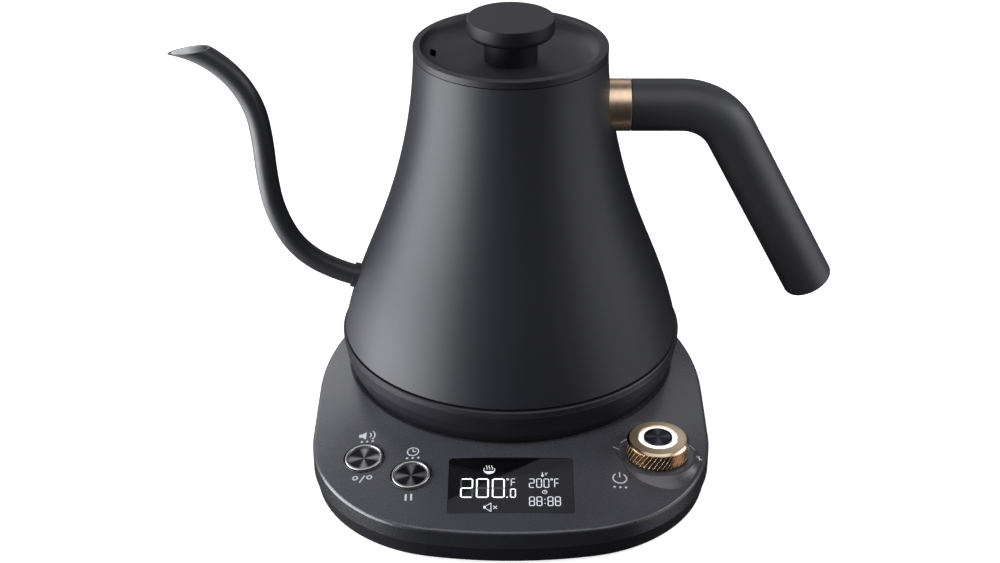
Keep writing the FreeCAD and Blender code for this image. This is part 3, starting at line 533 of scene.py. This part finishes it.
# ---------------------------------------------------------------- dial
def knurled_dial():
    """The brass dial: a flat top, a bright chamfer and a side cut with slanting V grooves."""
    low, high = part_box("dial_ring")
    centre = middle("dial_ring")
    radius = (high.x - low.x) / 2 / MM
    bottom, top = low.z / MM, high.z / MM
    grooves = 42
    lean = 0.6  # how far a groove goes round for each millimetre of height
    depth = 0.12
    half_width = 0.11
    lip = 8.4  # radius of the opening in the top
    inner = 10.25  # radius of the hollow below it
    chamfer = 1.15
    rows = 10  # of faces up the cut side
    rows_below = 3
    pitch = 2 * math.pi * radius / grooves
    flat = pitch - 2 * half_width
    across = [(-half_width, 0), (0, depth), (half_width, 0)]
    across += [(half_width + flat * share, 0) for share in (0.25, 0.5, 0.75)]
    flanks = 2  # the first faces across each pitch, which are the groove's

    def make(bm):
        rings = []
        side_low, side_high = bottom + 0.45, top - 1.45

        def around(r, z, cut):
            twist = lean * min(max(z - side_low, 0), side_high - side_low)
            spokes = []
            for groove in range(grooves):
                for offset, deep in across:
                    angle = (groove * pitch + offset + twist) / radius
                    spokes.append(((r - deep * cut) * MM, angle))
            rings.append(ring(bm, spokes, z * MM))

        around(inner, bottom + 0.02, 0)
        around(radius - 0.8, bottom, 0)
        around(radius - 0.35, bottom + 0.25, 0)
        for row in range(rows + 1):
            share = row / rows
            run_out = min(1.0, 8 * share, 8 * (1 - share))
            around(radius - 0.02, side_low + (side_high - side_low) * share, run_out)
        around(radius - 0.05, top - 1.4, 0)
        around(radius - chamfer + 0.06, top - 0.4, 0)
        around(radius - chamfer - 0.15, top - 0.32, 0)
        around(lip + 0.3, top, 0)
        around(lip, top - 0.25, 0)
        around(lip, top - 1.7, 0)
        around(inner, top - 1.7, 0)
        skin(bm, rings + rings[:1])
        for index, face in enumerate(bm.faces):
            row, spoke = divmod(index, grooves * len(across))
            if rows_below <= row < rows_below + rows and spoke % len(across) < flanks:
                face.material_index = 1

    place = upright(centre.x, centre.y)
    metal = dial_metal((top - 1.4) * MM, (top - 0.32) * MM)
    piece = new_piece("knurled_dial", make, place, "dial", metal)
    piece.data.materials.append(cut_brass)
    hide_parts("dial_ring")


def start_cap():
    """The dark spun cap in the middle of the dial."""
    low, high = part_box("start_button")
    centre = middle("start_button")
    radius = (high.x - low.x) / 2 / MM
    bottom, top = low.z / MM, high.z / MM
    stem = 1.8
    under = top - 3.7
    edge = 0.5
    profile = [(0, bottom), (stem, bottom), (stem, under), (radius, under), (radius, top - edge)]
    profile += arc_points((radius - edge, top - edge), edge, 0, 90, 6)[1:]
    profile += [(radius - 0.75, top - 0.02), (radius - 0.95, top - 0.16)]
    profile += [(2.0, top - 0.2), (0, top - 0.2)]
    place = upright(centre.x, centre.y)
    piece = new_piece("start_cap", lathe(profile), place, "start_button", start_spun)
    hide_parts("start_button")


# ---------------------------------------------------------------- spout
def settle_order(items, place):
    """Lists vertices or faces by where they lie, because bmesh may list them anew on each run."""
    for index, item in enumerate(sorted(items, key=lambda item: tuple(place(item)))):
        item.index = index
    items.sort()


def spout_lining():
    """The bare steel inside the spout's mouth: a thin skin over the bore's last stretch.

    A face belongs to the bore when the other side of the bore faces it. The long side of the lip has
    nothing facing it, so the set then grows over smooth neighbours."""
    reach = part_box("spout_tube")[0].x + 34 * MM
    bore = 9 * MM  # how far off the other side may be
    smooth = 0.93  # cosine of the sharpest bend that the set crosses
    lift = 0.03  # height of the skin above the CAD surface
    skin_depth = 0.12
    bm = bmesh.new()
    bm.from_mesh(nodes["spout_tube"].data)
    bmesh.ops.remove_doubles(bm, verts=bm.verts, dist=0.001 * MM)
    bm.normal_update()
    tree = BVHTree.FromBMesh(bm)
    near = {face for face in bm.faces if face.calc_center_median().x < reach}
    fresh = []
    for face in near:
        start = face.calc_center_median() + face.normal * 0.05 * MM
        if tree.ray_cast(start, face.normal, bore)[0] is not None:
            fresh.append(face)
    inside = set(fresh)
    while fresh:
        face = fresh.pop()
        for edge in face.edges:
            for other in edge.link_faces:
                if other in near and other not in inside and other.normal.dot(face.normal) > smooth:
                    inside.add(other)
                    fresh.append(other)
    bmesh.ops.delete(bm, geom=[face for face in bm.faces if face not in inside], context="FACES")
    bm.normal_update()
    for vert in bm.verts:
        vert.co += vert.normal * lift * MM
    bmesh.ops.solidify(bm, geom=bm.faces, thickness=-skin_depth * MM)
    settle_order(bm.verts, lambda vert: vert.co)
    settle_order(bm.faces, lambda face: face.calc_center_median())
    place = Matrix.Identity(4)
    add_piece("spout_lining", bm, place, "kettle", mouth_steel, sharp=None)


# ---------------------------------------------------------------- buttons
button_places = {
    "unit_button": panel_place(-62.25 * MM, -77.6 * MM),
    "timer_button": panel_place(-41.7 * MM, -89.9 * MM),
}
CAP_RADIUS = 8.1  # of the rim round each button
BEZEL_RADIUS = 8.95


def spun_buttons():
    """Each button is a spun disc, sunk inside a rounded bright rim."""
    rounding = 0.62
    rim = [(CAP_RADIUS, -2.4)] + arc_points((CAP_RADIUS - rounding, 0.3), rounding, 0, 180, 14)
    rim += [(CAP_RADIUS - 2 * rounding, -0.2), (5.6, -0.28), (5.6, -2.4)]
    disc = [(0, -6.0), (2.0, -6.0), (2.0, -2.45), (5.55, -2.45), (5.55, -0.33), (6.75, -0.16)]
    disc += [(5.0, -0.14), (0, -0.10)]
    for name, place in button_places.items():
        new_piece(name + "_rim", lathe(rim), place, name, bright_ring)
        piece = new_piece(name + "_disc", lathe(disc), place, name, dark_spun)
        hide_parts(name)


def button_rings():
    """The bezel that each button sits in: a dark well with a thin rounded lip."""
    inside = CAP_RADIUS + 0.3
    rounding = 0.2
    profile = [(inside, -3.0), (BEZEL_RADIUS, -3.0)]
    profile += arc_points((BEZEL_RADIUS - rounding, 0.3), rounding, 0, 135, 8)
    profile += [(inside, -0.6)]
    for name, place in button_places.items():
        made = new_piece(name + "_bezel", lathe(profile), place, "base", well_metal)
    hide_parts("button_bezels")


# ---------------------------------------------------------------- display
SEGMENTS = {"0": "abcdef", "2": "abged", "8": "abcdefg", "F": "aefg"}


def segment_ends(letter, x, y, width, height):
    """The ends of one segment of a figure whose lower left corner is (x, y)."""
    half = height / 2
    ends = {
        "a": ((x, y + height), (x + width, y + height)),
        "b": ((x + width, y + half), (x + width, y + height)),
        "c": ((x + width, y), (x + width, y + half)),
        "d": ((x, y), (x + width, y)),
        "e": ((x, y), (x, y + half)),
        "f": ((x, y + half), (x, y + height)),
        "g": ((x, y + half), (x + width, y + half)),
    }
    return ends[letter]


def figure(bm, digit, x, y, width, height, weight, thick, ghosts=False):
    """One seven-segment figure, or the segments that it leaves unlit."""
    lit = SEGMENTS[digit]
    wanted = [s for s in "abcdefg" if (s in lit) != ghosts]
    gap_share = 0.18  # of the weight, left free at each end of a segment
    for letter in wanted:
        start, end = segment_ends(letter, x, y, width, height)
        a, b = Vector(start), Vector(end)
        gap = (b - a).normalized() * weight * gap_share
        stroke(bm, a + gap, b - gap, weight, thick)


def display_figures():
    """The lit figures and icons, thin raised film on the window, in millimetres from its middle."""
    centre = middle("display_window")
    glass_half = 0.6
    normal = Vector((0, -math.sin(PANEL_SLOPE), math.cos(PANEL_SLOPE)))
    turn = Matrix.Rotation(PANEL_SLOPE, 4, "X")
    place = Matrix.Translation(centre + normal * glass_half * MM) @ turn
    film = 0.04
    over = film * 1.2  # for a stroke that crosses another
    big = (4.7, 10.5, 0.62)  # width, height and weight
    small = (2.0, 4.9, 0.4)
    large_figures = (("2", -20.6), ("0", -14.1), ("0", -7.5))

    def bright(bm):
        for digit, x in large_figures:
            figure(bm, digit, x, -6.6, *big, film)
        # the point and the figure after it
        figure(bm, "0", -0.1, -6.6, 2.0, 4.7, 0.46, film)
        stroke(bm, (-1.9, -6.6), (-1.1, -6.6), 0.7, film)

    def dim(bm):
        for digit, x in (("2", 7.7), ("0", 10.75), ("0", 13.8)):
            figure(bm, digit, x, -0.95, *small, film)
        # the timer's figures and colon
        for x in (7.7, 10.75, 15.3, 18.35):
            figure(bm, "8", x, -11.35, *small, film)
        for y in (-10.1, -7.8):
            stroke(bm, (13.75, y), (14.35, y), 0.5, film)
        # a thermometer with two rungs
        stroke(bm, (13.2, 7.9), (13.2, 5.9), 0.36, film)
        arc_stroke(bm, (13.2, 5.9), 0.3, 0, 360, 0.5, over, 16)
        stroke(bm, (14.2, 7.3), (15.4, 7.3), 0.26, film, BLUNT)
        stroke(bm, (14.2, 6.4), (15.0, 6.4), 0.26, film, BLUNT)
        # a clock
        arc_stroke(bm, (14.0, -3.6), 0.95, 0, 360, 0.26, film, 24)
        stroke(bm, (14.0, -3.7), (14.0, -3.0), 0.24, film, BLUNT)
        stroke(bm, (14.0, -3.6), (14.6, -3.6), 0.24, over, BLUNT)
        # the degree rings and their F
        figure(bm, "F", 0.2, -0.1, 1.7, 4.1, 0.38, film)
        figure(bm, "F", 18.2, -0.95, 1.8, 4.9, 0.38, film)
        arc_stroke(bm, (-1.3, 3.75), 0.4, 0, 360, 0.32, film, 20)
        arc_stroke(bm, (17.0, 3.7), 0.4, 0, 360, 0.32, film, 20)

    def icons(bm):
        # a steaming cup
        arc_stroke(bm, (-9.0, 9.3), 2.25, 155, 385, 0.38, film)
        bowl = arc_points((-9.0, 9.2), 2.2, 198, 342, 18)
        prism(bm, bowl, film)
        for x in (-10.1, -9.0, -7.9):
            arc_stroke(bm, (x - 0.55, 10.2), 0.8, -50, 42, 0.3, film, 10)
            arc_stroke(bm, (x + 0.62, 11.35), 0.8, 138, 222, 0.3, film, 10)
        # a muted speaker
        prism(bm, [(-11.2, -13.1), (-10.2, -13.1), (-10.2, -11.5), (-11.2, -11.5)], film)
        horn = ((-10.1, -13.1), (-8.1, -14.7), (-8.1, -9.9), (-10.1, -11.5))
        for start, end in zip(horn, horn[1:]):
            stroke(bm, start, end, 0.32, film)
        stroke(bm, (-7.2, -13.2), (-5.6, -11.4), 0.28, film)
        stroke(bm, (-7.2, -11.4), (-5.6, -13.2), 0.28, film)

    def ghosts(bm):
        for digit, x in large_figures:
            figure(bm, digit, x, -6.6, *big, film / 2, ghosts=True)

    new_piece("display_large_figures", bright, place, "base", segment_light)
    new_piece("display_small_figures", dim, place, "base", dim_light)
    new_piece("display_icons", icons, place, "base", dim_light)
    new_piece("display_unlit_segments", ghosts, place, "base", ghost_light)


# ---------------------------------------------------------------- printed marks
def dial_marks():
    """A tick each side of the dial, with a minus and a plus below them."""
    thick = 0.1
    over = thick * 1.2  # for a stroke that crosses another

    def minus(bm):
        stroke(bm, (-1.6, 0), (1.6, 0), 0.45, thick, BLUNT)

    def plus(bm):
        stroke(bm, (-1.7, 0), (1.7, 0), 0.45, thick, BLUNT)
        stroke(bm, (0, -1.7), (0, 1.7), 0.45, over, BLUNT)

    def left_tick(bm):
        stroke(bm, (2.2, 2.45), (-2.2, -2.45), 0.4, thick, BLUNT)
        stroke(bm, (-2.2, -2.45), (-2.2, -0.6), 0.4, over, BLUNT)

    def right_tick(bm):
        stroke(bm, (-1.35, 1.75), (1.35, -1.75), 0.4, thick, BLUNT)

    marks = {
        "minus_mark": (minus, 44.8, -72.7), "plus_mark": (plus, 80.0, -76.6),
        "left_tick": (left_tick, 48.7, -66.3), "right_tick": (right_tick, 77.3, -70.5),
    }
    for name, (maker, x, y) in marks.items():
        new_piece(name, maker, shell_place(x * MM, y * MM), "base", pad_print)


def panel_icons():
    """Plain icons beside the controls: sound, clock, degrees, pause and power, with three dots
    for a long press."""
    thick = 0.03
    over = thick * 1.2  # for a stroke that crosses another
    scale = 1.25

    def dots(bm, y):
        for x in (-1.9, 0, 1.9):
            arc_stroke(bm, (x, y), 0.22, 0, 360, 0.42, thick, 16)

    def larger(maker):
        def make(bm):
            maker(bm)
            bmesh.ops.scale(bm, vec=(scale, scale, 1), verts=bm.verts)

        return make

    def sound(bm):
        horn = [(-3.0, -0.8), (-1.9, -0.8), (-0.5, -1.9), (-0.5, 1.9), (-1.9, 0.8), (-3.0, 0.8)]
        prism(bm, horn, thick)
        arc_stroke(bm, (-0.6, 0), 1.8, -42, 42, 0.42, thick)
        arc_stroke(bm, (-0.6, 0), 3.1, -42, 42, 0.42, thick)
        dots(bm, -3.1)

    def clock(bm):
        arc_stroke(bm, (0, 0), 1.9, 0, 360, 0.42, thick, 40)
        stroke(bm, (0, -0.15), (0, 1.3), 0.4, thick, BLUNT)
        stroke(bm, (-0.15, 0), (1.1, 0), 0.4, over, BLUNT)
        dots(bm, -3.1)

    def degrees(bm):
        arc_stroke(bm, (-2.4, 0.6), 0.8, 0, 360, 0.42, thick, 24)
        stroke(bm, (-0.8, -1.6), (0.8, 1.6), 0.42, thick, BLUNT)
        arc_stroke(bm, (2.4, 0.6), 0.8, 0, 360, 0.42, thick, 24)

    def pause(bm):
        stroke(bm, (-0.9, -1.5), (-0.9, 1.5), 0.65, thick, BLUNT)
        stroke(bm, (0.9, -1.5), (0.9, 1.5), 0.65, thick, BLUNT)

    def power(bm):
        arc_stroke(bm, (0, 0), 2.3, 125, 415, 0.46, thick, 40)
        stroke(bm, (0, 0.4), (0, 2.9), 0.46, thick, BLUNT)
        dots(bm, -4.2)

    marks = {
        "sound_icon": (sound, -61.6, -63.5), "clock_icon": (clock, -41.5, -75.9),
        "degree_icon": (degrees, -62.2, -90.4), "pause_icon": (pause, -42.2, -102.8),
        "power_icon": (power, 45.5, -91.5),
    }
    for name, (maker, x, y) in marks.items():
        place = panel_place(x * MM, y * MM)
        new_piece(name, larger(maker), place, "base", pad_print)


# ---------------------------------------------------------------- stage
def pale_floor():
    """A pale sweep that glows a little, as paper does under its own lamps; clear from below."""
    below_feet = 0.2 * MM
    bpy.ops.mesh.primitive_plane_add(size=8, location=(0, 0, -below_feet))
    floor = bpy.context.object
    floor.name = "floor"
    look = Look("pale_floor", (0.9, 0.9, 0.9), 0.8, Specular_IOR_Level=0.1, Emission_Strength=0.8)
    paper = look.noise(3.0)
    look.color(paper, (0.89, 0.89, 0.89), (0.91, 0.91, 0.91))
    glow = look.mix(paper, (0.99, 0.99, 0.99), (1.0, 1.0, 1.0))
    look.feed(look.shader.inputs["Emission Color"], glow)
    backface = look.tree.nodes.new("ShaderNodeNewGeometry").outputs["Backfacing"]
    blend = look.node("ShaderNodeMixShader", Fac=backface)
    look.feed(blend.inputs[1], look.shader.outputs["BSDF"])
    look.feed(blend.inputs[2], look.tree.nodes.new("ShaderNodeBsdfTransparent").outputs["BSDF"])
    look.feed(look.tree.nodes["Material Output"].inputs["Surface"], blend.outputs["Shader"])
    floor.data.materials.append(look.material)
    floor.visible_glossy = False
    floor.visible_diffuse = False
    floor.visible_shadow = False


def softbox(name, place, target, size, brightness):
    """A rectangular light of size metres, with its brightness as seen in a mirror."""
    data = bpy.data.lights.new(name, "AREA")
    data.shape = "RECTANGLE"
    data.size, data.size_y = size
    data.energy = brightness * math.pi * size[0] * size[1]
    data.color = (0.96, 0.965, 1.0)  # slightly cool
    light = bpy.data.objects.new(name, data)
    bpy.context.scene.collection.objects.link(light)
    light.location = place
    light.rotation_euler = (Vector(target) - Vector(place)).to_track_quat("-Z", "Y").to_euler()


def studio():
    """A faint even world, and softboxes placed where the photo's highlights call for them."""
    world = bpy.data.worlds.new("studio")
    world.use_nodes = True
    background = world.node_tree.nodes["Background"].inputs
    background["Color"].default_value = (1, 1, 1, 1)
    background["Strength"].default_value = 0.02
    bpy.context.scene.world = world
    centre = (0, 0, 0.10)
    softbox("left_softbox", (-0.85, -0.20, -0.02), (0, 0, -0.02), (0.96, 0.76), 7.5)
    softbox("table_glow", (-0.34, -0.03, -0.004), (-0.34, -0.03, 1), (0.3, 0.35), 2.2)
    softbox("left_strip", (-0.85, 0.0, 0.47), centre, (0.6, 0.12), 8.0)
    softbox("right_strip", (0.85, 0.0, 0.45), centre, (0.6, 0.15), 5.0)
    softbox("right_softbox", (0.85, -0.18, 0.14), centre, (0.8, 1.4), 1.2)
    softbox("top_softbox", (0, -0.42, 1.08), centre, (1.4, 0.9), 1.5)
    softbox("rear_softbox", (0.1, 0.88, 0.86), centre, (1.4, 0.55), 0.75)
    softbox("rear_left_softbox", (-0.62, 1.0, 0.55), centre, (0.7, 0.75), 1.3)
    softbox("backdrop", (0, 1.5, 0.3), centre, (2.0, 0.6), 0.1)
    bpy.context.scene.view_settings.view_transform = "Standard"


def camera():
    """The photo's view, from a fit to the ellipses of the lid, the body and the base."""
    data = bpy.data.cameras.new("camera")
    data.sensor_width = 36
    data.lens = 62.6
    data.shift_x = -0.0108
    data.shift_y = -0.0005
    data.clip_start = 0.01
    eye = bpy.data.objects.new("camera", data)
    bpy.context.scene.collection.objects.link(eye)
    eye.location = (0, -0.6818, 0.45074)
    downwards = 0.5166  # radians below level
    eye.rotation_euler = (math.pi / 2 - downwards, 0, 0)
    bpy.context.scene.camera = eye


camera()
dress_cad_nodes()
knurled_dial()
start_cap()
spout_lining()
spun_buttons()
button_rings()
display_figures()
dial_marks()
panel_icons()
pale_floor()
studio()
